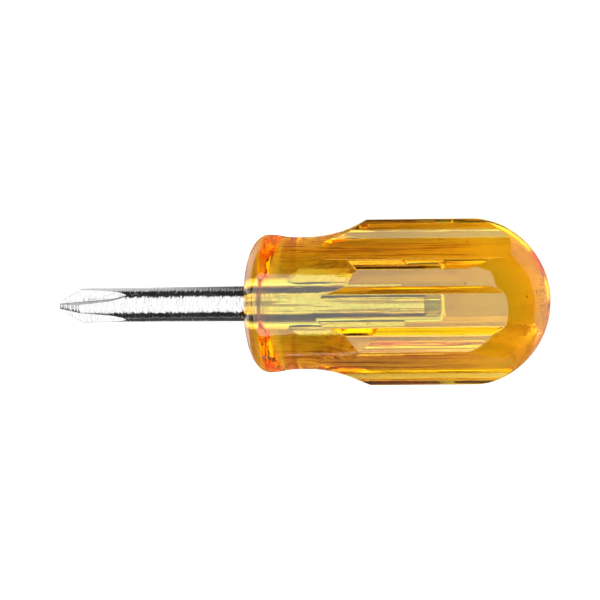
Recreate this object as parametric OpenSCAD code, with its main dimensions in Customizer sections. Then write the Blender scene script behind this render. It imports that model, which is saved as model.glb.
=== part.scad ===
// Stubby cross-point screwdriver: a round steel blade pressed into a one-piece
// clear amber handle with six grooved facets and a domed end.
//
// The tool lies on one handle facet with its axis along X and its point
// towards -X. Z = 0 is that facet, Y = 0 is the axis, and X = 0 is the middle
// of the overall length. Inside the modules, s is the distance from the point.

/* [Overall] */
// Length of blade that stands out of the handle
exposed_len = 34.8; // [30:0.1:60]
// Length of the handle
handle_len = 55.1; // [50:0.1:70]

/* [Grip] */
// Radius over the corners of the six-sided grip
corner_r = 15.2; // [14.5:0.1:17]
// Half-width of the flat floor of the groove in each facet
floor_half = 3; // [2:0.1:3.5]
// Half-width of the mouth of that groove
mouth_half = 4.5; // [4:0.05:5.5]
// Depth of that groove
groove_depth = 1.02; // [0.3:0.02:1.1]
// Radius of the domed end across the handle
dome_r = 15.3; // [15.3:0.05:17.2]
// Radius of the domed end along the handle
dome_len = 15.36; // [12:0.02:18]

/* [Collar and neck] */
// Radius of the flat ring around the blade
face_r = 5; // [4:0.1:7]
// Radius of the collar at its widest
rim_r = 12.5; // [12.1:0.05:13]
// Distance from the front face to the widest point of the collar
rim_pos = 3.8; // [3:0.1:5]
// Radius of the neck behind the collar
neck_r = 11.97; // [11:0.01:12]
// Distance from the front face to the start of the neck
neck_start = 9; // [7:0.1:9.5]
// Distance from the front face to the start of the flare
flare_start = 10.75; // [10:0.05:12]
// Radius of the hollow curve that flares out to the grip
flare_r = 21.5; // [20:0.1:30]

/* [Blade] */
// Radius of the round shank
shank_r = 3.175; // [3:0.025:3.2]
// Length of shank held inside the handle
tang_len = 33.3; // [31:0.1:38]
// Bevel at the inner end of the shank
tang_bevel = 0.3; // [0.1:0.05:0.5]
// Space between the inner end of the shank and the flat end of the bore
bore_relief = 1.9; // [1:0.1:3]
// Rounding at the closed end of the bore
bore_round = 1.5; // [0.5:0.1:2]

/* [Locking ears] */
// Distance from the handle's face to the front of the ears
ear_start = 8; // [6:0.1:10]
// Length of the ears
ear_len = 21.6; // [10:0.1:22]
// Reach of each ear from the axis
ear_reach = 3.93; // [3.5:0.01:4.2]
// Thickness of each ear
ear_thick = 2.6; // [2:0.1:3]
// Length of the ramp at the front of an ear
front_ramp = 1.8; // [1:0.1:3]
// Length of the ramp at the back of an ear
back_ramp = 0.9; // [0.5:0.1:2]

/* [Cross point] */
// Radius over the wings at the very tip
tip_r = 0.85; // [0.8:0.01:1.15]
// Length of the cone at the tip
cone_len = 4.1; // [3.8:0.1:4.5]
// Angle of the V between two wings
flute_angle = 92; // [88:1:96]
// Distance from the axis to the bottom of the V at the tip
flute_root = 0.6; // [0.5:0.02:0.7]
// Slope of the bottom of the V
flute_slope = 7.7; // [5.75:0.05:8.5]
// Distance from the tip to where the cutting wheel lifts out
flute_len = 9; // [7:0.1:10]
// Radius of the wheel that leaves the rounded end of the V
wheel_r = 10; // [6:0.5:12]
// Turn of the blade in the handle
blade_turn = 5; // [0:1:45]

/* [Hidden] */
$fn = 96;

sides = 6;
side_angle = 360 / sides;
wings = 4;
flat_r = corner_r * cos(side_angle / 2);
overall = exposed_len + handle_len;
dome_pos = handle_len - dome_len;
flare_reach = dome_r - neck_r;
flare_end = flare_start + sqrt(flare_r * flare_r - pow(flare_r - flare_reach, 2));
facet_start = (neck_start + flare_start) / 2;
bore_depth = tang_len + bore_relief;
arc_steps = 12;
dome_steps = 24;
flute_reach = 3.4;
cut = 0.5;

// The two equal arcs of the S-curve between collar and neck
waist_drop = (rim_r - neck_r) / 2;
waist_half = (neck_start - rim_pos) / 2;
waist_r = (waist_half * waist_half + waist_drop * waist_drop) / (2 * waist_drop);

// Points [radius, position] on an elliptic arc about [r0, p0]
function arc(r0, p0, rad_r, rad_p, from, to, steps) = [
    for (i = [0 : steps])
        let (a = from + (to - from) * i / steps)
        [r0 + rad_r * cos(a), p0 + rad_p * sin(a)]
];

waist_angle = asin(waist_half / waist_r);
flare_angle = acos((flare_r - flare_reach) / flare_r);

// Half outline of the handle before its facets are cut, from the front face to the dome
handle_outline = concat(
    [[0, 0]],
    arc(face_r, rim_pos, rim_r - face_r, rim_pos, -90, 0, arc_steps),
    arc(rim_r - waist_r, rim_pos, waist_r, waist_r, 0, waist_angle, arc_steps / 2),
    arc(neck_r + waist_r, neck_start, waist_r, waist_r, 180 + waist_angle, 180, arc_steps / 2),
    arc(neck_r + flare_r, flare_start, flare_r, flare_r, 180, 180 - flare_angle, arc_steps),
    arc(0, dome_pos, dome_r, dome_len, 0, 90, dome_steps)
);

// Stands the children on X, with their own Z towards the handle's dome
module along_axis(s = 0) {
    translate([s - overall / 2, 0, flat_r])
        rotate([0, 90, 0])
            children();
}

// What is cut away outside one facet, groove included
module facet_cutter() {
    linear_extrude(height = handle_len)
        polygon([
            [flat_r, -corner_r],
            [flat_r, -mouth_half],
            [flat_r - groove_depth, -floor_half],
            [flat_r - groove_depth, floor_half],
            [flat_r, mouth_half],
            [flat_r, corner_r],
            [2 * corner_r, corner_r],
            [2 * corner_r, -corner_r]
        ]);
}

// Bore that grips the shank, closed by a rounded end
module bore() {
    translate([0, 0, -cut])
        cylinder(r = shank_r, h = bore_depth + cut);
    translate([0, 0, bore_depth])
        rotate_extrude()
            intersection() {
                square([shank_r, bore_round]);
                union() {
                    square([shank_r - bore_round, bore_round]);
                    translate([shank_r - bore_round, 0])
                        circle(r = bore_round);
                }
            }
}

// Two swaged ears that stop the blade turning in the handle
module ears() {
    back = ear_start + ear_len;
    rotate([90, 0, 90])
        linear_extrude(height = ear_thick, center = true)
            polygon([
                [-shank_r / 2, ear_start],
                [-shank_r, ear_start],
                [-ear_reach, ear_start + front_ramp],
                [-ear_reach, back - back_ramp],
                [-shank_r, back],
                [shank_r, back],
                [ear_reach, back - back_ramp],
                [ear_reach, ear_start + front_ramp],
                [shank_r, ear_start]
            ]);
}

// One V between two wings: a straight cut and the round end left by the wheel
module flute() {
    half_w = flute_reach * tan(flute_angle / 2);
    translate([flute_root, 0, 0])
        rotate([0, flute_slope, 0]) {
            translate([0, 0, -cone_len])
                linear_extrude(height = cone_len + flute_len)
                    polygon([[0, 0], [flute_reach, half_w], [flute_reach, -half_w]]);
            translate([wheel_r, 0, flute_len])
                rotate([90, 0, 0])
                    rotate_extrude()
                        polygon([
                            [0, -half_w],
                            [wheel_r - flute_reach, -half_w],
                            [wheel_r, 0],
                            [wheel_r - flute_reach, half_w],
                            [0, half_w]
                        ]);
        }
}

module handle() {
    color([0.86, 0.6, 0.2, 0.6])
        along_axis(exposed_len)
            difference() {
                rotate_extrude()
                    polygon(handle_outline);
                for (i = [0 : sides - 1])
                    rotate([0, 0, i * side_angle])
                        translate([0, 0, facet_start])
                            facet_cutter();
                bore();
                ears();
            }
}

module blade() {
    full_len = exposed_len + tang_len;
    color([0.75, 0.76, 0.78])
        along_axis() {
            difference() {
                union() {
                    cylinder(r1 = tip_r, r2 = shank_r, h = cone_len);
                    translate([0, 0, cone_len])
                        cylinder(r = shank_r, h = full_len - tang_bevel - cone_len);
                    translate([0, 0, full_len - tang_bevel])
                        cylinder(r1 = shank_r, r2 = shank_r - tang_bevel, h = tang_bevel);
                    translate([0, 0, exposed_len])
                        ears();
                }
                for (i = [0 : wings - 1])
                    rotate([0, 0, blade_turn + (i + 0.5) * 360 / wings])
                        flute();
            }
        }
}

handle();
blade();
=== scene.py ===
import math

import bmesh
import bpy
from mathutils import Matrix, Vector


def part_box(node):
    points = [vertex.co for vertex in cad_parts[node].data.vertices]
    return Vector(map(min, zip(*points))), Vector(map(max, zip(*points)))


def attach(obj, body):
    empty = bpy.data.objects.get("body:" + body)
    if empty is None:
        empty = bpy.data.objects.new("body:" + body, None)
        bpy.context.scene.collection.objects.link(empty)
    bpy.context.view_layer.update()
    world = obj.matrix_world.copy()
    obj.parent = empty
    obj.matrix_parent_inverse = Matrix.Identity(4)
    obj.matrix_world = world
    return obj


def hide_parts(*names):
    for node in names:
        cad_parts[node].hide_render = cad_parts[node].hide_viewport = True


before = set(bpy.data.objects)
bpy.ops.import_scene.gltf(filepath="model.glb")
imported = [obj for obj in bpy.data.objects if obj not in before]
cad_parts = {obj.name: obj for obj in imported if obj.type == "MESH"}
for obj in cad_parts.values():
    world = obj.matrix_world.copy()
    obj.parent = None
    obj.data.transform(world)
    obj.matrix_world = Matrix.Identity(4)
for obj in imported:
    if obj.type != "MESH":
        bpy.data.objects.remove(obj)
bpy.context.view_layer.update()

mm = 0.001
handleLow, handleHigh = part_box("handle")
bladeLow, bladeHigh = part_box("blade")
axisHeight = handleHigh.z / 2          # the tool lies on a facet, so its axis is half a grip up
tipX = bladeLow.x


def softMin(a, b, blend):
    # the smaller of two, rounded over where they cross
    share = min(max(0.5 + 0.5 * (b - a) / blend, 0.0), 1.0)
    return b + (a - b) * share - blend * share * (1.0 - share)


def softMax(a, b, blend):
    return -softMin(-a, -b, blend)


def place(x, radius, angle):
    # a point at x (metres) on a circle round the tool's axis; angle 0 is up, 90 degrees is +Y
    return (x, radius * math.sin(angle), axisHeight + radius * math.cos(angle))


def spread(start, end, count):
    # count values from start up to, but without, end
    return [start + (end - start) * i / count for i in range(count)]


def stitch(lower, upper):
    # joins two rings of points that don't have the same count; each is (first index, angles)
    faces = []
    i, j = 0, 0
    nLow, nUp = len(lower[1]), len(upper[1])
    while i < nLow or j < nUp:
        a, b = lower[0] + i % nLow, upper[0] + j % nUp
        nextLow = lower[1][(i + 1) % nLow] + (math.tau if i + 1 >= nLow else 0)
        nextUp = upper[1][(j + 1) % nUp] + (math.tau if j + 1 >= nUp else 0)
        if j >= nUp or (i < nLow and nextLow <= nextUp):
            faces.append((a, lower[0] + (i + 1) % nLow, b))
            i += 1
        else:
            faces.append((a, upper[0] + (j + 1) % nUp, b))
            j += 1
    return faces


class Skin:
    # a closed mesh built ring by ring along the axis
    def __init__(self):
        self.points = []
        self.faces = []

    def ring(self, points):
        first = len(self.points)
        self.points.extend(points)
        return first

    def join(self, a, b, count):
        for i in range(count):
            j = (i + 1) % count
            self.faces.append((a + i, a + j, b + j, b + i))

    def close(self, ringStart, count, point, flip=False):
        self.points.append(point)
        tip = len(self.points) - 1
        for i in range(count):
            j = (i + 1) % count
            face = (ringStart + i, ringStart + j, tip)
            self.faces.append(face[::-1] if flip else face)

    def make(self, name):
        mesh = bpy.data.meshes.new(name)
        mesh.from_pydata(self.points, [], self.faces)
        mesh.validate()
        mesh.polygons.foreach_set("use_smooth", [True] * len(mesh.polygons))
        mesh.update()
        piece = bpy.data.objects.new(name, mesh)
        bpy.context.scene.collection.objects.link(piece)
        return piece


handleShape = {
    "sides": 6,
    "floorHalf": 3.0 * mm,        # groove floor, half its width
    "mouthHalf": 4.5 * mm,        # groove mouth, half its width
    "grooveDepth": 1.02 * mm,
    "crestBlend": 0.26 * mm,      # rounding over the six corners
    "grooveBlend": 0.10 * mm,     # rounding of the groove's four lines
    "ringRound": 0.16 * mm,       # half-width of the rounding where facets meet flare and dome
    "domeRadius": 15.3 * mm,
    "domeLength": 15.36 * mm,
    "faceRadius": 5.0 * mm,
    "rimRadius": 12.5 * mm,
    "rimPos": 3.8 * mm,
    "neckRadius": 11.97 * mm,
    "neckStart": 9.0 * mm,
    "flareStart": 10.75 * mm,
    "flareRadius": 21.5 * mm,
    "boreGap": 0.03 * mm,         # air between steel and plastic
    "mouthRound": 0.25 * mm,
    "boreRelief": 1.9 * mm,
    "boreRound": 1.5 * mm,
}

bladeShape = {
    "shankRadius": (bladeHigh.z - bladeLow.z) / 2,
    "tipRadius": 0.85 * mm,
    "coneLength": 4.1 * mm,
    "fluteHalfAngle": math.radians(46),
    "fluteRoot": 0.6 * mm,
    "fluteSlope": math.radians(7.7),
    "fluteLength": 9.0 * mm,
    "wheelRadius": 10.0 * mm,
    "turn": math.radians(-5),
    "edgeBlend": 0.05 * mm,
    "earStart": 8.0 * mm,
    "earLength": 21.6 * mm,
    "earReach": bladeHigh.y,
    "earThick": 2.6 * mm,
    "frontRamp": 1.8 * mm,
    "backRamp": 0.9 * mm,
    "earBlend": 0.12 * mm,
    "tangBevel": 0.3 * mm,
}

flatRadius = axisHeight
sideAngle = math.tau / handleShape["sides"]


def facetRadius(angle):
    # distance from the axis to the grooved six-sided section, angle from the middle of a facet
    shape = handleShape
    a = abs(angle)
    flat = flatRadius / math.cos(a)
    floorHeight = flatRadius - shape["grooveDepth"]
    floor = floorHeight / math.cos(a)
    run = shape["mouthHalf"] - shape["floorHalf"]
    rise = shape["grooveDepth"]
    wall = (floorHeight * run - shape["floorHalf"] * rise) / (math.cos(a) * run - math.sin(a) * rise)
    groove = softMax(floor, wall, shape["grooveBlend"])
    own = softMin(flat, groove, shape["grooveBlend"])
    return softMin(own, flatRadius / math.cos(sideAngle - a), shape["crestBlend"])


def facetAngles():
    # columns for all six facets, closer together at every line of the section
    shape = handleShape
    floorEdge = math.atan2(shape["floorHalf"], flatRadius - shape["grooveDepth"])
    mouthEdge = math.atan2(shape["mouthHalf"], flatRadius)
    crest = sideAngle / 2
    near = [d * mm / flatRadius for d in (-0.3, -0.17, -0.1, -0.03, 0.03, 0.1, 0.17, 0.3)]
    half = spread(0, floorEdge - 0.5 * mm / flatRadius, 7)
    half += [floorEdge + d for d in near]
    half += [(floorEdge + mouthEdge) / 2]
    half += [mouthEdge + d for d in near]
    half += spread(mouthEdge + 0.55 * mm / flatRadius, crest - 0.5 * mm / flatRadius, 6)
    half += [crest - d * mm / flatRadius for d in (0.42, 0.25, 0.16, 0.08)]
    facet = [-a for a in reversed(half[1:])] + half + [crest]
    angles = []
    for side in range(shape["sides"]):
        angles += [side * sideAngle + a for a in facet]
    return angles, facet


def neckCurve(x):
    # radius of the turned outline behind the rim, x from the front face
    shape = handleShape
    drop = (shape["rimRadius"] - shape["neckRadius"]) / 2
    half = (shape["neckStart"] - shape["rimPos"]) / 2
    bend = (half * half + drop * drop) / (2 * drop)
    if x < shape["rimPos"] + half:
        return shape["rimRadius"] - bend + math.sqrt(bend ** 2 - (x - shape["rimPos"]) ** 2)
    if x < shape["neckStart"]:
        return shape["neckRadius"] + bend - math.sqrt(bend ** 2 - (shape["neckStart"] - x) ** 2)
    if x < shape["flareStart"]:
        return shape["neckRadius"]
    return flareCurve(x)


def flareCurve(x):
    shape = handleShape
    reach = min(x - shape["flareStart"], shape["flareRadius"])
    return shape["neckRadius"] + shape["flareRadius"] - math.sqrt(shape["flareRadius"] ** 2 - reach ** 2)


def flareWhere(radius):
    shape = handleShape
    rest = shape["flareRadius"] - (radius - shape["neckRadius"])
    return shape["flareStart"] + math.sqrt(shape["flareRadius"] ** 2 - rest ** 2)


def domeTurn(radius):
    # how far round the dome's ellipse a radius lies, 0 at its widest
    return math.acos(min(radius / handleShape["domeRadius"], 1.0))


def earReachAt(station):
    # reach of the ears at a distance from the handle's face, shank radius where there are none
    shape = bladeShape
    back = shape["earStart"] + shape["earLength"]
    if station <= shape["earStart"] or station >= back:
        return shape["shankRadius"]
    share = min((station - shape["earStart"]) / shape["frontRamp"], (back - station) / shape["backRamp"], 1.0)
    return shape["shankRadius"] + share * (shape["earReach"] - shape["shankRadius"])


def earSection(station, grow):
    # angles and radii round the shank with its two ears, grown outwards by the air gap
    shape = bladeShape
    radius = shape["shankRadius"] + grow
    reach = earReachAt(station) + grow
    half = shape["earThick"] / 2 + grow
    root = math.asin(half / radius)
    corner = min(math.atan2(half, reach), root - 0.01)
    quarter = spread(0, corner - 0.03, 3) + [corner + d for d in (-0.03, -0.012, 0.0, 0.012, 0.03)]
    quarter += spread(corner + 0.03, root - 0.03, 3)[1:]
    quarter += [root + d for d in (-0.03, -0.012, 0.012, 0.03)]
    quarter += spread(root + 0.03, math.pi / 2, 16)[1:]
    # a full turn from the +Y ear, mirrored quarter by quarter
    turn = quarter + [math.pi / 2] + [math.pi - a for a in reversed(quarter[1:])]
    turn += [math.pi + a for a in turn]
    radii = []
    for a in turn:
        across, up = abs(math.cos(a)), abs(math.sin(a))
        ear = softMin(reach / max(across, 0.02), half / max(up, 0.02), shape["earBlend"])
        radii.append(softMax(radius, ear, 0.04 * mm) if reach > radius + 0.01 * mm else radius)
    return [math.pi / 2 - a for a in turn][::-1], radii[::-1]


def buildHandle():
    shape = handleShape
    skin = Skin()
    faceX = handleLow.x
    angles, facet = facetAngles()
    count = len(angles)
    section = [facetRadius(a) for a in facet] * shape["sides"]

    # rings that are plain circles: face, rim, neck and the start of the flare
    turned = [(0.0, r) for r in (shape["faceRadius"] - 0.6 * mm, shape["faceRadius"] - 0.1 * mm)]
    for i in range(0, 29):
        a = math.radians(-90 + 90 * i / 28)
        turned.append((shape["rimPos"] * (1 + math.sin(a)),
                       shape["faceRadius"] + (shape["rimRadius"] - shape["faceRadius"]) * math.cos(a)))
    flareFirst = flareWhere(min(section) - 0.12 * mm)
    turned += [(x, neckCurve(x)) for x in spread(shape["rimPos"], shape["neckStart"], 20)[1:]]
    turned += [(x, neckCurve(x)) for x in spread(shape["neckStart"], flareFirst, 20)]
    rings = []
    for x, radius in turned:
        rings.append(skin.ring([place(faceX + x, radius, a) for a in angles]))

    # rings that bend round the facets' ends: each column has its own stations
    ringSteps = [d * shape["ringRound"] for d in (-1.9, -1.2, -0.8, -0.4, 0.0, 0.4, 0.8, 1.2, 1.9)]
    columns = []
    for radius in section:
        flareEnd = flareWhere(radius)
        flareSlope = (flareEnd - shape["flareStart"]) / math.sqrt(
            shape["flareRadius"] ** 2 - (flareEnd - shape["flareStart"]) ** 2)
        domeX = handleHigh.x - faceX - shape["domeLength"]
        turnEnd = domeTurn(radius)
        domeEnd = domeX + shape["domeLength"] * math.sin(turnEnd)
        domeSlope = shape["domeRadius"] / shape["domeLength"] * math.tan(turnEnd)
        stations = spread(flareFirst, flareEnd + ringSteps[0], 14)
        stations += [flareEnd + d for d in ringSteps]
        stations += spread(flareEnd + ringSteps[-1], domeEnd + ringSteps[0], 14)[1:]
        stations += [domeEnd + d for d in ringSteps]
        afterRing = math.asin(min((domeEnd + ringSteps[-1] - domeX) / shape["domeLength"], 1.0))
        stations += [domeX + shape["domeLength"] * math.sin(t) for t in spread(afterRing, math.pi / 2, 52)[1:]]
        column = []
        middle = (flareEnd + domeEnd) / 2
        for x in stations:
            if x < middle:
                r = softMin(flareCurve(x), radius, shape["ringRound"] * flareSlope)
            else:
                sink = 1 - ((x - domeX) / shape["domeLength"]) ** 2 if x > domeX else 1.0
                dome = shape["domeRadius"] * math.sqrt(max(sink, 0.0))
                r = softMin(dome, radius, shape["ringRound"] * domeSlope)
            column.append((faceX + x, r))
        columns.append(column)
    for row in range(len(columns[0])):
        rings.append(skin.ring([place(columns[i][row][0], columns[i][row][1], angles[i]) for i in range(count)]))
    for a, b in zip(rings, rings[1:]):
        skin.join(a, b, count)
    skin.close(rings[-1], count, (handleHigh.x, 0.0, axisHeight))

    # the bore: rounded mouth, pockets for the ears, rounded end
    grow = shape["boreGap"]
    boreRadius = bladeShape["shankRadius"] + grow
    boreAngles = earSection(0.0, grow)[0]
    boreCount = len(boreAngles)
    mouth = skin.ring([place(faceX, boreRadius + 2 * shape["mouthRound"], a) for a in boreAngles])
    inner = [mouth]
    for i in range(5):
        a = math.radians(90 * i / 4)
        radius = boreRadius + shape["mouthRound"] * (1 - math.sin(a))
        inner.append(skin.ring([place(faceX + shape["mouthRound"] * (1 - math.cos(a)), radius, b)
                                for b in boreAngles]))
    for station in boreStations():
        ringAngles, radii = earSection(station, grow)
        inner.append(skin.ring([place(faceX + station, r, a) for a, r in zip(ringAngles, radii)]))
    endX = bladeHigh.x + shape["boreRelief"]
    for i in range(9):
        a = math.radians(90 * i / 8)
        radius = boreRadius - shape["boreRound"] * (1 - math.cos(a))
        inner.append(skin.ring([place(endX + shape["boreRound"] * math.sin(a), radius, b) for b in boreAngles]))
    for share in (0.6, 0.3):
        inner.append(skin.ring([place(endX + shape["boreRound"], radius * share, b) for b in boreAngles]))
    for a, b in zip(inner, inner[1:]):
        skin.join(a, b, boreCount)
    skin.close(inner[-1], boreCount, (endX + shape["boreRound"], 0.0, axisHeight))
    skin.faces += stitch((mouth, boreAngles), (rings[0], angles))
    piece = skin.make("handleShell")
    tidyNormals(piece)
    return piece


def boreStations():
    # distances from the handle's face where the bore and the tang need a ring
    shape = bladeShape
    start, back = shape["earStart"], shape["earStart"] + shape["earLength"]
    stations = spread(1.0 * mm, start - 0.1 * mm, 6) + [start - 0.1 * mm]
    stations += spread(start + 0.05 * mm, start + shape["frontRamp"], 8)
    stations += [start + shape["frontRamp"] + d * mm for d in (-0.08, 0.0, 0.08)]
    stations += spread(start + shape["frontRamp"] + 0.5 * mm, back - shape["backRamp"] - 0.1 * mm, 20)
    stations += [back - shape["backRamp"] + d * mm for d in (-0.08, 0.0, 0.08)]
    stations += spread(back - shape["backRamp"] + 0.2 * mm, back - 0.05 * mm, 4)
    stations += [back + 0.1 * mm, back + 0.5 * mm, back + 1.5 * mm, back + 3.0 * mm]
    return stations


def tidyNormals(piece):
    # every face looks outwards
    work = bmesh.new()
    work.from_mesh(piece.data)
    bmesh.ops.remove_doubles(work, verts=work.verts, dist=1e-7)
    bmesh.ops.recalc_face_normals(work, faces=work.faces)
    work.to_mesh(piece.data)
    work.free()


def fluteDepth(station):
    # distance from the axis to the bottom of the V, at a distance from the tip
    shape = bladeShape
    slope = shape["fluteSlope"]
    lift = shape["fluteLength"] * math.cos(slope)
    if station <= lift:
        return shape["fluteRoot"] + station * math.tan(slope)
    hubRadius = shape["fluteRoot"] + shape["wheelRadius"] * math.cos(slope) + shape["fluteLength"] * math.sin(slope)
    hubX = shape["fluteLength"] * math.cos(slope) - shape["wheelRadius"] * math.sin(slope)
    inside = shape["wheelRadius"] ** 2 - (station - hubX) ** 2
    return hubRadius - math.sqrt(max(inside, 0.0))


def pointSection(station):
    # angles and radii round the fluted point
    shape = bladeShape
    outer = shape["tipRadius"] + (shape["shankRadius"] - shape["tipRadius"]) * min(
        station / shape["coneLength"], 1.0)
    half = shape["fluteHalfAngle"]
    root = fluteDepth(station)
    edge = half - math.asin(min(root * math.sin(half) / outer, math.sin(half)))
    edge = max(edge, math.radians(1.2))
    near = [d * min(0.08 * mm / outer, edge / 5) for d in (-2.0, -1.0, -0.5, 0.0, 0.5, 1.0, 2.0)]
    eighth = [0.0, 0.012 * edge / 0.6, 0.04 * edge / 0.6] + spread(0.12 * edge, edge + near[0], 8)
    eighth += [edge + d for d in near]
    eighth += spread(edge + near[-1], math.pi / 4, 5)[1:]
    angles, radii = [], []
    for wing in range(4):
        centre = shape["turn"] + (wing + 0.5) * math.pi / 2
        for a in [-a for a in reversed(eighth[1:])] + eighth + [math.pi / 4]:
            bend = math.sqrt(a * a + 0.0009)
            if bend < half - 0.02:
                flute = root * math.sin(half) / math.sin(half - bend)
            else:
                flute = 1.0
            angles.append(centre + a)
            radii.append(softMin(outer, flute, shape["edgeBlend"]))
    return angles, radii


def buildBlade():
    shape = bladeShape
    skin = Skin()
    angles, radii = pointSection(0.0)
    count = len(angles)
    rings = []
    # the flat end, then the fluted point
    for share in (0.35, 0.7, 0.93):
        rings.append(skin.ring([place(tipX, r * share, a) for a, r in zip(angles, radii)]))
    lift = shape["fluteLength"]
    fluteEnd = lift
    while fluteDepth(fluteEnd) < shape["shankRadius"]:
        fluteEnd += 0.01 * mm
    stations = [0.06 * mm] + spread(0.3 * mm, shape["coneLength"] - 0.12 * mm, 12)
    stations += [shape["coneLength"] + d * mm for d in (-0.1, 0.0, 0.1)]
    stations += spread(shape["coneLength"] + 0.4 * mm, lift, 14)
    stations += [lift + (fluteEnd - lift) * math.sin(math.radians(90 * i / 18)) for i in range(19)]
    for station in stations:
        ringAngles, ringRadii = pointSection(station)
        rings.append(skin.ring([place(tipX + station, r, a) for a, r in zip(ringAngles, ringRadii)]))
    for a, b in zip(rings, rings[1:]):
        skin.join(a, b, count)
    skin.close(rings[0], count, (tipX, 0.0, axisHeight), flip=True)

    # plain shank, ears and the bevelled inner end
    faceX = handleLow.x
    tangEnd = bladeHigh.x
    earAngles = earSection(0.0, 0.0)[0]
    earCount = len(earAngles)
    shankRings = []
    for x in [tipX + fluteEnd + 0.3 * mm] + spread(tipX + fluteEnd + 2 * mm, faceX, 8):
        shankRings.append(skin.ring([place(x, shape["shankRadius"], a) for a in earAngles]))
    for station in boreStations():
        ringAngles, ringRadii = earSection(station, 0.0)
        shankRings.append(skin.ring([place(faceX + station, r, a) for a, r in zip(ringAngles, ringRadii)]))
    bevel = shape["tangBevel"]
    for back, inset in ((1.3 * bevel, 0.0), (1.08 * bevel, 0.0), (0.92 * bevel, 0.06 * bevel),
                        (0.08 * bevel, 0.92 * bevel), (0.0, 1.08 * bevel), (0.0, 1.5 * bevel)):
        shankRings.append(skin.ring([place(tangEnd - back, shape["shankRadius"] - inset, a) for a in earAngles]))
    for a, b in zip(shankRings, shankRings[1:]):
        skin.join(a, b, earCount)
    skin.close(shankRings[-1], earCount, (tangEnd, 0.0, axisHeight))
    lastAngles = pointSection(stations[-1])[0]
    skin.faces += bridge(rings[-1], lastAngles, shankRings[0], earAngles)
    piece = skin.make("bladeSteel")
    tidyNormals(piece)
    return piece


def bridge(lowStart, lowAngles, upStart, upAngles):
    # joins two rings whose angles start at different places
    low = [a % math.tau for a in lowAngles]
    up = [a % math.tau for a in upAngles]
    lowOrder = sorted(range(len(low)), key=lambda i: low[i])
    upOrder = sorted(range(len(up)), key=lambda i: up[i])
    faces = []
    for a, b, c in stitch((0, [low[i] for i in lowOrder]), (len(low), [up[i] for i in upOrder])):
        faces.append(tuple(lowStart + lowOrder[i] if i < len(low) else upStart + upOrder[i - len(low)]
                           for i in (a, b, c)))
    return faces


def newMaterial(name):
    material = bpy.data.materials.new(name)
    material.use_nodes = True
    material.node_tree.nodes.clear()
    return material, material.node_tree


def addNode(tree, kind, spot=(0, 0), links=None, **values):
    # spot is the node's place in the editor; links maps an input to the output that feeds it
    node = tree.nodes.new(kind)
    node.location = spot
    for key, value in values.items():
        if hasattr(node, key):
            setattr(node, key, value)
        else:
            node.inputs[key.replace("_", " ")].default_value = value
    for key, source in (links or {}).items():
        tree.links.new(source, node.inputs[key])
    return node


def addMath(tree, operation, first, second, spot=(0, 0), clamp=False):
    node = addNode(tree, "ShaderNodeMath", spot, operation=operation, use_clamp=clamp)
    for index, value in enumerate((first, second)):
        if isinstance(value, (int, float)):
            node.inputs[index].default_value = value
        else:
            tree.links.new(value, node.inputs[index])
    return node.outputs["Value"]


def newGroup(name, inputs, outputs):
    # inputs and outputs: {socket name: kind}
    group = bpy.data.node_groups.new(name, "ShaderNodeTree")
    for label, kind in inputs.items():
        group.interface.new_socket(name=label, in_out="INPUT", socket_type=kind)
    for label, kind in outputs.items():
        group.interface.new_socket(name=label, in_out="OUTPUT", socket_type=kind)
    return group, group.nodes.new("NodeGroupInput"), group.nodes.new("NodeGroupOutput")


def useGroup(tree, group, spot, links, **values):
    node = tree.nodes.new("ShaderNodeGroup")
    node.node_tree = group
    node.location = spot
    for key, source in links.items():
        tree.links.new(source, node.inputs[key])
    for key, value in values.items():
        node.inputs[key.replace("_", " ")].default_value = value
    return node


def buildStretchedLines():
    # noise drawn out into lines: drawing lines along the plastic, grinding lines round the steel
    group, start, end = newGroup("stretchedLines", {
        "Vector": "NodeSocketVector", "Stretch": "NodeSocketVector", "Detail": "NodeSocketFloat",
        "Contrast": "NodeSocketFloat"}, {"Height": "NodeSocketFloat"})
    scaled = addNode(group, "ShaderNodeVectorMath", (-200, 0), operation="MULTIPLY")
    group.links.new(start.outputs["Vector"], scaled.inputs[0])
    group.links.new(start.outputs["Stretch"], scaled.inputs[1])
    noise = addNode(group, "ShaderNodeTexNoise", (0, 0), {
        "Vector": scaled.outputs["Vector"], "Detail": start.outputs["Detail"]}, Scale=1.0, Roughness=0.55)
    centred = addMath(group, "SUBTRACT", noise.outputs["Fac"], 0.5, (200, 0))
    strong = addMath(group, "MULTIPLY", centred, start.outputs["Contrast"], (400, 0))
    height = addMath(group, "ADD", strong, 0.5, (600, 0))
    group.links.new(height, end.inputs["Height"])
    return group


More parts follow.
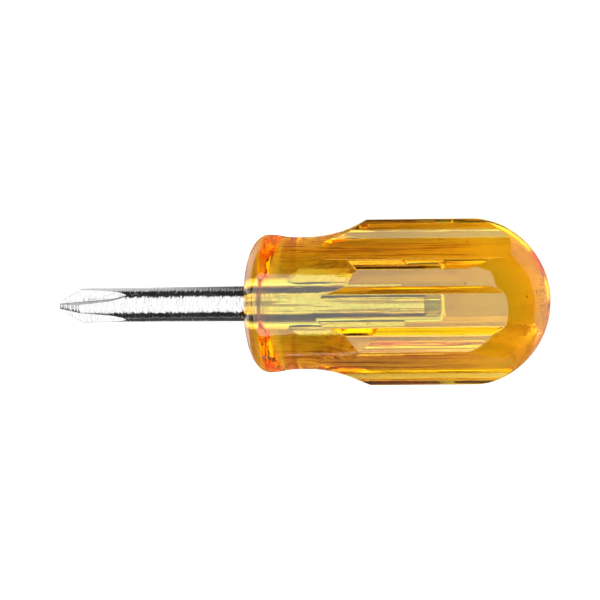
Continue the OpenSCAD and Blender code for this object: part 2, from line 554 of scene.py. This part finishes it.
def buildScratches():
    # thin scratches that run all ways, in patches: 1 on a scratch, 0 elsewhere
    group, start, end = newGroup("scratches", {
        "Vector": "NodeSocketVector", "Scale": "NodeSocketFloat", "Width": "NodeSocketFloat",
        "Amount": "NodeSocketFloat"}, {"Mask": "NodeSocketFloat"})
    bend = addNode(group, "ShaderNodeTexNoise", (-400, 200), {
        "Vector": start.outputs["Vector"], "Scale": start.outputs["Scale"]}, Detail=1.0)
    spun = addNode(group, "ShaderNodeVectorMath", (-200, 100), operation="MULTIPLY_ADD")
    group.links.new(bend.outputs["Color"], spun.inputs[0])
    spun.inputs[1].default_value = (0.004, 0.004, 0.004)
    group.links.new(start.outputs["Vector"], spun.inputs[2])
    cells = addNode(group, "ShaderNodeTexVoronoi", (0, 100), {
        "Vector": spun.outputs["Vector"], "Scale": start.outputs["Scale"]}, feature="DISTANCE_TO_EDGE")
    thin = addMath(group, "LESS_THAN", cells.outputs["Distance"], start.outputs["Width"], (200, 100))
    patches = addNode(group, "ShaderNodeTexNoise", (0, -200), {
        "Vector": start.outputs["Vector"], "Scale": start.outputs["Scale"]}, Detail=3.0)
    kept = addMath(group, "LESS_THAN", patches.outputs["Fac"], start.outputs["Amount"], (200, -200))
    mask = addMath(group, "MULTIPLY", thin, kept, (400, 0))
    group.links.new(mask, end.inputs["Mask"])
    return group


def buildSmudges():
    # handling marks: a value that drifts between two levels
    group, start, end = newGroup("smudges", {
        "Vector": "NodeSocketVector", "Scale": "NodeSocketFloat", "Low": "NodeSocketFloat",
        "High": "NodeSocketFloat"}, {"Value": "NodeSocketFloat"})
    noise = addNode(group, "ShaderNodeTexNoise", (0, 0), {
        "Vector": start.outputs["Vector"], "Scale": start.outputs["Scale"]}, Detail=4.0, Distortion=0.6)
    level = addNode(group, "ShaderNodeMapRange", (200, 0), {
        "Value": noise.outputs["Fac"], "To Min": start.outputs["Low"], "To Max": start.outputs["High"]},
        From_Min=0.35, From_Max=0.7)
    group.links.new(level.outputs["Result"], end.inputs["Value"])
    return group


def buildSpecks():
    # small round specks of dust and dirt: 1 on a speck
    group, start, end = newGroup("specks", {
        "Vector": "NodeSocketVector", "Scale": "NodeSocketFloat", "Size": "NodeSocketFloat",
        "Share": "NodeSocketFloat"}, {"Mask": "NodeSocketFloat"})
    cells = addNode(group, "ShaderNodeTexVoronoi", (0, 0), {
        "Vector": start.outputs["Vector"], "Scale": start.outputs["Scale"]})
    near = addMath(group, "LESS_THAN", cells.outputs["Distance"], start.outputs["Size"], (200, 0))
    parts = addNode(group, "ShaderNodeSeparateColor", (200, -200), {"Color": cells.outputs["Color"]})
    picked = addMath(group, "LESS_THAN", parts.outputs["Red"], start.outputs["Share"], (400, -200))
    mask = addMath(group, "MULTIPLY", near, picked, (600, 0))
    group.links.new(mask, end.inputs["Mask"])
    return group


stretchedLines, scratches = buildStretchedLines(), buildScratches()
smudges, specks = buildSmudges(), buildSpecks()

amberLook = {
    "ior": 1.48,
    "density": 115.0,                      # absorption per metre for a channel that lets nothing through
    "tint": (0.995, 0.87, 0.0),
    # the two surface tints below change with the viewing angle: painted light and shade, darker head on and more
    # orange at a slant
    "straight": (0.5, 0.69, 0.82, 1),      # surface tint where it is met head on, tuned
    "paintedSlantTint": (1.0, 0.78, 0.4, 1),        # and where it is met at a slant
    "paintedStreak": (0.3, 0.09, 0.01, 1),        # painted dark reflections: streaks that only show at a slant
    "streaks": (45.0, 1900.0, 1900.0),
    "boreDark": (0.2, 0.14, 0.08, 1),         # darker colour in the rounded mouth and broken darker lines along the bore
    "mouthReach": 4.2 * mm,
    "boreReach": 5.7 * mm,
    "drawn": (26.0, 950.0, 950.0),         # long soft lines left by drawing and milling the bar
    "drawnHeight": 0.000013,
    "fine": (90.0, 5200.0, 5200.0),
    "fineHeight": 0.00000025,
    "ripple": 130.0,                       # slow ripple from the tumbling that gives the gloss
    "rippleHeight": 0.000007,
}


def boreDarkening(tree, where, streaks):
    # 1 where the plastic is darkened: a ring at the mouth, and broken lines along the wall of the bore
    look = amberLook
    parts = addNode(tree, "ShaderNodeSeparateXYZ", (-1100, 1200), {"Vector": where})
    fromAxis = addMath(tree, "SUBTRACT", parts.outputs["Z"], axisHeight, (-950, 1200))
    across = addNode(tree, "ShaderNodeCombineXYZ", (-800, 1200), {"X": parts.outputs["Y"], "Y": fromAxis})
    radius = addNode(tree, "ShaderNodeVectorMath", (-650, 1200), {"Vector": across.outputs["Vector"]},
                     operation="LENGTH").outputs["Value"]
    front = addMath(tree, "LESS_THAN", parts.outputs["X"], handleLow.x + 0.7 * mm, (-800, 1000))
    nearMouth = addMath(tree, "LESS_THAN", radius, look["mouthReach"], (-500, 1100))
    ring = addMath(tree, "MULTIPLY", addMath(tree, "MULTIPLY", front, nearMouth, (-350, 1100)), 0.75, (-200, 1100))
    inBore = addMath(tree, "LESS_THAN", radius, look["boreReach"], (-500, 900))
    broken = addNode(tree, "ShaderNodeMapRange", (-500, 700), {"Value": streaks},
                     From_Min=0.56, From_Max=0.62, To_Max=0.8)
    alongBore = addMath(tree, "MULTIPLY", inBore, broken.outputs["Result"], (-350, 900))
    return addMath(tree, "MAXIMUM", ring, alongBore, (-100, 1000))


def amberMaterial():
    look = amberLook
    material, tree = newMaterial("amberPlastic")
    where = addNode(tree, "ShaderNodeTexCoord", (-1200, 0)).outputs["Object"]
    drawn = useGroup(tree, stretchedLines, (-900, 200), {"Vector": where},
                     Stretch=look["drawn"], Detail=2.0, Contrast=1.6).outputs["Height"]
    fine = useGroup(tree, stretchedLines, (-900, 0), {"Vector": where},
                    Stretch=look["fine"], Detail=2.0, Contrast=1.0).outputs["Height"]
    ripple = useGroup(tree, stretchedLines, (-900, -200), {"Vector": where},
                      Stretch=(look["ripple"],) * 3, Detail=1.0, Contrast=1.0).outputs["Height"]
    scratch = useGroup(tree, scratches, (-900, -400), {"Vector": where},
                       Scale=140.0, Width=0.004, Amount=0.44).outputs["Mask"]
    speck = useGroup(tree, specks, (-900, -600), {"Vector": where},
                     Scale=620.0, Size=0.16, Share=0.05).outputs["Mask"]
    gloss = useGroup(tree, smudges, (-900, -800), {"Vector": where},
                     Scale=110.0, Low=0.0, High=0.035).outputs["Value"]
    first = addNode(tree, "ShaderNodeBump", (-600, 200), {"Height": drawn}, Distance=look["drawnHeight"])
    second = addNode(tree, "ShaderNodeBump", (-450, 100), {
        "Height": fine, "Normal": first.outputs["Normal"]}, Distance=look["fineHeight"])
    third = addNode(tree, "ShaderNodeBump", (-300, 0), {
        "Height": ripple, "Normal": second.outputs["Normal"]}, Distance=look["rippleHeight"])
    fourth = addNode(tree, "ShaderNodeBump", (-150, -100), {
        "Height": scratch, "Normal": third.outputs["Normal"]}, Distance=0.000004, invert=True)
    worn = addMath(tree, "MULTIPLY", scratch, 0.12, (-600, -400))
    rough = addMath(tree, "ADD", gloss, worn, (-300, -500), clamp=True)
    tone = addNode(tree, "ShaderNodeMix", (-300, -250), {"Factor": speck}, data_type="RGBA")
    # painted light and shade: the surface tint moves from the head-on tint to the slanted one with the viewing angle
    facing = addNode(tree, "ShaderNodeLayerWeight", (-900, 500), Blend=0.5).outputs["Facing"]
    slant = addNode(tree, "ShaderNodeMapRange", (-600, 500), {"Value": facing}, From_Min=0.05, From_Max=0.4)
    body = addNode(tree, "ShaderNodeMix", (-450, 400), {"Factor": slant.outputs["Result"]}, data_type="RGBA")
    body.inputs["A"].default_value = look["straight"]
    # painted dark reflections: streaks on the grip, shown only where the surface is met at a slant
    streaks = useGroup(tree, stretchedLines, (-1100, 700), {"Vector": where},
                       Stretch=look["streaks"], Detail=3.0, Contrast=1.6).outputs["Height"]
    dark = addNode(tree, "ShaderNodeMapRange", (-900, 700), {"Value": streaks}, From_Min=0.53, From_Max=0.64)
    along = addNode(tree, "ShaderNodeSeparateXYZ", (-1100, 900), {"Vector": where}).outputs["X"]
    gripEnd = addNode(tree, "ShaderNodeMapRange", (-900, 900), {"Value": along},
                      From_Min=0.029, From_Max=0.034, To_Min=1.0, To_Max=0.0).outputs["Result"]
    gripStart = addNode(tree, "ShaderNodeMapRange", (-900, 1050), {"Value": along},
                        From_Min=handleLow.x + 4 * mm, From_Max=handleLow.x + 9 * mm).outputs["Result"]
    onGrip = addMath(tree, "MULTIPLY", gripStart, gripEnd, (-750, 950))
    amount = addMath(tree, "MULTIPLY", dark.outputs["Result"], onGrip, (-750, 750))
    lined = addNode(tree, "ShaderNodeMix", (-600, 700), {"Factor": amount}, data_type="RGBA")
    lined.inputs["A"].default_value = look["paintedSlantTint"]
    lined.inputs["B"].default_value = look["paintedStreak"]
    tree.links.new(lined.outputs["Result"], body.inputs["B"])
    boreDark = addNode(tree, "ShaderNodeMix", (-300, 400), {
        "Factor": boreDarkening(tree, where, streaks), "A": body.outputs["Result"]}, data_type="RGBA")
    boreDark.inputs["B"].default_value = look["boreDark"]
    tree.links.new(boreDark.outputs["Result"], tone.inputs["A"])
    tone.inputs["B"].default_value = (0.3, 0.2, 0.12, 1)
    shader = addNode(tree, "ShaderNodeBsdfPrincipled", (300, 0), {
        "Normal": fourth.outputs["Normal"], "Roughness": rough, "Base Color": tone.outputs["Result"]},
        Metallic=0.0, Transmission_Weight=1.0, IOR=look["ior"])
    volume = addNode(tree, "ShaderNodeVolumeAbsorption", (300, -400), Color=(*look["tint"], 1),
                     Density=look["density"])
    addNode(tree, "ShaderNodeOutputMaterial", (600, 0), {
        "Surface": shader.outputs["BSDF"], "Volume": volume.outputs["Volume"]})
    return material


steelLook = {
    "bright": (0.275, 0.275, 0.28, 1),
    "paintedTangLight": (0.84, 0.52, 0.33, 1),       # the tang, painted light: brighter and warmer than the bare steel, to match the gold inside the plastic
    "dull": (0.21, 0.205, 0.2, 1),
    "ground": (2900.0, 420.0, 420.0),      # lines round the shank from centreless grinding
    "groundHeight": 0.00015,
    "hair": (9000.0, 900.0, 900.0),
    "hairHeight": 0.0000025,
}


def steelMaterial():
    look = steelLook
    material, tree = newMaterial("platedSteel")
    where = addNode(tree, "ShaderNodeTexCoord", (-1200, 0)).outputs["Object"]
    ground = useGroup(tree, stretchedLines, (-900, 200), {"Vector": where},
                      Stretch=look["ground"], Detail=1.5, Contrast=1.4).outputs["Height"]
    hair = useGroup(tree, stretchedLines, (-900, 0), {"Vector": where},
                    Stretch=look["hair"], Detail=2.0, Contrast=1.0).outputs["Height"]
    scratch = useGroup(tree, scratches, (-900, -200), {"Vector": where},
                       Scale=300.0, Width=0.006, Amount=0.42).outputs["Mask"]
    speck = useGroup(tree, specks, (-900, -400), {"Vector": where},
                     Scale=1300.0, Size=0.2, Share=0.07).outputs["Mask"]
    dirt = useGroup(tree, smudges, (-900, -600), {"Vector": where},
                    Scale=220.0, Low=0.06, High=0.2).outputs["Value"]
    first = addNode(tree, "ShaderNodeBump", (-600, 200), {"Height": ground}, Distance=look["groundHeight"])
    second = addNode(tree, "ShaderNodeBump", (-450, 100), {
        "Height": hair, "Normal": first.outputs["Normal"]}, Distance=look["hairHeight"])
    third = addNode(tree, "ShaderNodeBump", (-300, 0), {
        "Height": scratch, "Normal": second.outputs["Normal"]}, Distance=0.000006, invert=True)
    worn = addMath(tree, "MAXIMUM", speck, scratch, (-600, -300))
    lines = addNode(tree, "ShaderNodeMapRange", (-600, -500), {"Value": hair},
                    From_Min=0.5, From_Max=0.75, To_Max=0.9)
    marks = addMath(tree, "MAXIMUM", worn, lines.outputs["Result"], (-450, -350))
    tone = addNode(tree, "ShaderNodeMix", (-300, -250), {"Factor": marks}, data_type="RGBA")
    along = addNode(tree, "ShaderNodeSeparateXYZ", (-900, 400), {"Vector": where}).outputs["X"]
    # painted light: the steel inside the handle takes the brighter, warmer tang tone
    inside = addMath(tree, "GREATER_THAN", along, handleLow.x, (-600, 500))
    metal = addNode(tree, "ShaderNodeMix", (-450, 400), {"Factor": inside}, data_type="RGBA")
    metal.inputs["A"].default_value = look["bright"]
    metal.inputs["B"].default_value = look["paintedTangLight"]
    tree.links.new(metal.outputs["Result"], tone.inputs["A"])
    tone.inputs["B"].default_value = look["dull"]
    shader = addNode(tree, "ShaderNodeBsdfPrincipled", (300, 0), {
        "Normal": third.outputs["Normal"], "Roughness": dirt, "Base Color": tone.outputs["Result"]},
        Metallic=1.0)
    addNode(tree, "ShaderNodeOutputMaterial", (600, 0), {"Surface": shader.outputs["BSDF"]})
    return material


floorLook = {
    "size": 0.9,
    "paper": (0.68, 0.73),
    "underGrip": (0.98, 0.7, 0.3, 1),      # paper in the amber light that comes down through the handle
    "farPaintedShade": (0.42, 0.3, 0.2, 1),        # painted shade: paper well to the side turns darker and amber, only when seen through the plastic
    "mirrored": (0.05, 0.05, 0.05, 1),     # how dark it is in mirror reflections near the handle
}


def floorMaterial():
    # pale paper; seen through the plastic it is in the amber light under the handle
    material, tree = newMaterial("paleFloor")
    where = addNode(tree, "ShaderNodeTexCoord", (-900, 0)).outputs["Object"]
    grain = useGroup(tree, smudges, (-600, 0), {"Vector": where}, Scale=900.0,
                     Low=floorLook["paper"][0], High=floorLook["paper"][1])
    path = addNode(tree, "ShaderNodeLightPath", (-600, 300))
    parts = addNode(tree, "ShaderNodeSeparateXYZ", (-750, 500), {"Vector": where})
    along = parts.outputs["X"]
    underDome = addNode(tree, "ShaderNodeMapRange", (-600, 500), {"Value": along},
                        From_Min=0.028, From_Max=0.042, To_Min=1.0, To_Max=0.25).outputs["Result"]
    aside = addMath(tree, "ABSOLUTE", parts.outputs["Y"], 0.0, (-750, 350))
    nearGrip = addNode(tree, "ShaderNodeMapRange", (-600, 350), {"Value": aside},
                       From_Min=0.018, From_Max=0.026, To_Min=1.0, To_Max=0.0).outputs["Result"]
    under = addMath(tree, "MULTIPLY", underDome, nearGrip, (-500, 450))
    # painted shade on the paper well to the side, for rays through the plastic only
    wayOff = addNode(tree, "ShaderNodeMapRange", (-600, 200), {"Value": aside}, From_Min=0.04, From_Max=0.08)
    farShadeMask = addMath(tree, "MULTIPLY", path.outputs["Is Transmission Ray"], wayOff.outputs["Result"], (-450, 150))
    mirror = addMath(tree, "MULTIPLY", path.outputs["Is Glossy Ray"], path.outputs["Is Reflection Ray"], (-600, 600))
    behind = addNode(tree, "ShaderNodeMapRange", (-600, 900), {"Value": along},
                     From_Min=0.035, From_Max=0.06, To_Min=1.0, To_Max=0.6).outputs["Result"]
    beside = addNode(tree, "ShaderNodeMapRange", (-600, 700), {"Value": along},
                     From_Min=-0.03, From_Max=-0.014).outputs["Result"]
    ahead = addMath(tree, "MULTIPLY", beside, behind, (-500, 750))
    shade = addMath(tree, "MULTIPLY", mirror, ahead, (-450, 600))
    glow = addMath(tree, "MULTIPLY", path.outputs["Is Transmission Ray"], under, (-450, 300))
    tone = addNode(tree, "ShaderNodeMix", (-300, 0), {"Factor": glow, "A": grain.outputs["Value"]},
                   data_type="RGBA")
    tone.inputs["B"].default_value = floorLook["underGrip"]
    farPaintedShade = addNode(tree, "ShaderNodeMix", (-220, 0), {"Factor": farShadeMask, "A": tone.outputs["Result"]},
                      data_type="RGBA")
    farPaintedShade.inputs["B"].default_value = floorLook["farPaintedShade"]
    mirrored = addNode(tree, "ShaderNodeMix", (-150, 200), {"Factor": shade, "A": farPaintedShade.outputs["Result"]},
                       data_type="RGBA")
    mirrored.inputs["B"].default_value = floorLook["mirrored"]
    shader = addNode(tree, "ShaderNodeBsdfPrincipled", (0, 0), {"Base Color": mirrored.outputs["Result"]},
                     Roughness=0.9)
    addNode(tree, "ShaderNodeOutputMaterial", (300, 0), {"Surface": shader.outputs["BSDF"]})
    return material


handle = buildHandle()
handle.data.materials.append(amberMaterial())
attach(handle, "root")
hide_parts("handle")
print("handle built,", len(handle.data.polygons), "faces")

blade = buildBlade()
blade.data.materials.append(steelMaterial())
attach(blade, "root")
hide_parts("blade")
print("blade built,", len(blade.data.polygons), "faces")


def buildFloor():
    size = floorLook["size"]
    mesh = bpy.data.meshes.new("floor")
    mesh.from_pydata([(-size, -size, 0), (size, -size, 0), (size, size, 0), (-size, size, 0)], [], [(0, 1, 2, 3)])
    piece = bpy.data.objects.new("floor", mesh)
    bpy.context.scene.collection.objects.link(piece)
    piece.location.z = -0.02 * mm
    piece.data.materials.append(floorMaterial())


def addSoftbox(name, centre, target, width, height, power):
    lamp = bpy.data.lights.new(name, "AREA")
    lamp.shape = "RECTANGLE"
    lamp.size = width
    lamp.size_y = height
    lamp.energy = power
    box = bpy.data.objects.new(name, lamp)
    bpy.context.scene.collection.objects.link(box)
    box.location = centre
    box.rotation_euler = (Vector(target) - Vector(centre)).to_track_quat("-Z", "Y").to_euler()
    box.visible_camera = False


# a black card that only mirror reflections see: it casts no shadow, diffuse light doesn't meet it, the camera
# doesn't see it and rays through the plastic pass it; painted dark reflections
def addCard(name, corners):
    mesh = bpy.data.meshes.new(name)
    mesh.from_pydata(corners, [], [(0, 1, 2, 3)])
    card = bpy.data.objects.new(name, mesh)
    bpy.context.scene.collection.objects.link(card)
    material, tree = newMaterial("blackCard")
    black = addNode(tree, "ShaderNodeBsdfPrincipled", (0, 0), Base_Color=(0.03, 0.03, 0.03, 1), Roughness=0.8)
    clear = addNode(tree, "ShaderNodeBsdfTransparent", (0, 200))
    path = addNode(tree, "ShaderNodeLightPath", (0, 400))
    both = addNode(tree, "ShaderNodeMixShader", (200, 0), {"Fac": path.outputs["Is Transmission Ray"]})
    tree.links.new(black.outputs["BSDF"], both.inputs[1])
    tree.links.new(clear.outputs["BSDF"], both.inputs[2])
    addNode(tree, "ShaderNodeOutputMaterial", (400, 0), {"Surface": both.outputs["Shader"]})
    card.data.materials.append(material)
    card.visible_camera = card.visible_shadow = card.visible_diffuse = False


buildFloor()
addCard("nearFlag", [(-0.25, -0.2, 0.0002), (0.25, -0.2, 0.0002), (0.25, -0.016, 0.0002), (-0.25, -0.016, 0.0002)])
addCard("endFlag", [(0.085, -0.1, 0), (0.085, 0.1, 0), (0.085, 0.1, 0.06), (0.085, -0.1, 0.06)])
addCard("farFlag", [(-0.25, 0.045, 0), (0.25, 0.045, 0), (0.25, 0.045, 0.03), (-0.25, 0.045, 0.03)])

studio = {
    "height": 0.6,
    "nearEdge": math.radians(48),    # how far from straight up the softbox reaches towards -Y and +Y
    "farEdge": math.radians(58),
    "width": 3.5,
    "shift": -0.65,
    "radiance": 3.6,
    "sky": 0.08,
}
nearY, farY = -studio["height"] * math.tan(studio["nearEdge"]), studio["height"] * math.tan(studio["farEdge"])
middleY, depthY = (nearY + farY) / 2, farY - nearY
addSoftbox("overheadSoftbox", (studio["shift"], middleY, studio["height"]), (studio["shift"], middleY, 0),
           studio["width"], depthY, studio["radiance"] * math.pi * studio["width"] * depthY)

world = bpy.data.worlds.new("studio")
bpy.context.scene.world = world
world.use_nodes = True
skyTree = world.node_tree
seen = addNode(skyTree, "ShaderNodeLightPath", (-400, 0)).outputs["Is Camera Ray"]
level = addNode(skyTree, "ShaderNodeMapRange", (-200, 0), {"Value": seen}, To_Min=studio["sky"], To_Max=1.0)
skyTree.nodes["Background"].inputs["Color"].default_value = (1, 1, 1, 1)
skyTree.links.new(level.outputs["Result"], skyTree.nodes["Background"].inputs["Strength"])

cameraView = {
    "lean": math.radians(9.0),       # towards the dome
    "roll": math.radians(7.2),       # towards +Y
    "tilt": math.radians(0.57),      # the tool's rise across the picture
    "distance": 1.8,
    "width": 600 * 0.1814 * mm,
    "aimX": -0.75 * mm,
    "rise": 0.58 * mm,
}


def addCamera():
    view = cameraView
    back = Vector((math.sin(view["lean"]), math.sin(view["roll"]) * math.cos(view["lean"]),
                   math.cos(view["roll"]) * math.cos(view["lean"])))
    along = Vector((1, 0, 0)) - back * back.x
    along.normalize()
    right = Matrix.Rotation(-view["tilt"], 3, back) @ along
    up = back.cross(right)
    aim = Vector((view["aimX"], 0, axisHeight)) + up * view["rise"]
    lens = bpy.data.cameras.new("camera")
    lens.sensor_width = 36
    lens.lens = 36 * view["distance"] / view["width"]
    lens.clip_start = 0.01
    lens.clip_end = 100
    camera = bpy.data.objects.new("camera", lens)
    bpy.context.scene.collection.objects.link(camera)
    pose = Matrix((right, up, back)).transposed().to_4x4()
    camera.matrix_world = Matrix.Translation(aim + back * view["distance"]) @ pose
    bpy.context.scene.camera = camera


addCamera()

scene = bpy.context.scene
scene.view_settings.view_transform = "Standard"
scene.cycles.max_bounces = 48
scene.cycles.glossy_bounces = 48
scene.cycles.transmission_bounces = 48
scene.cycles.diffuse_bounces = 4
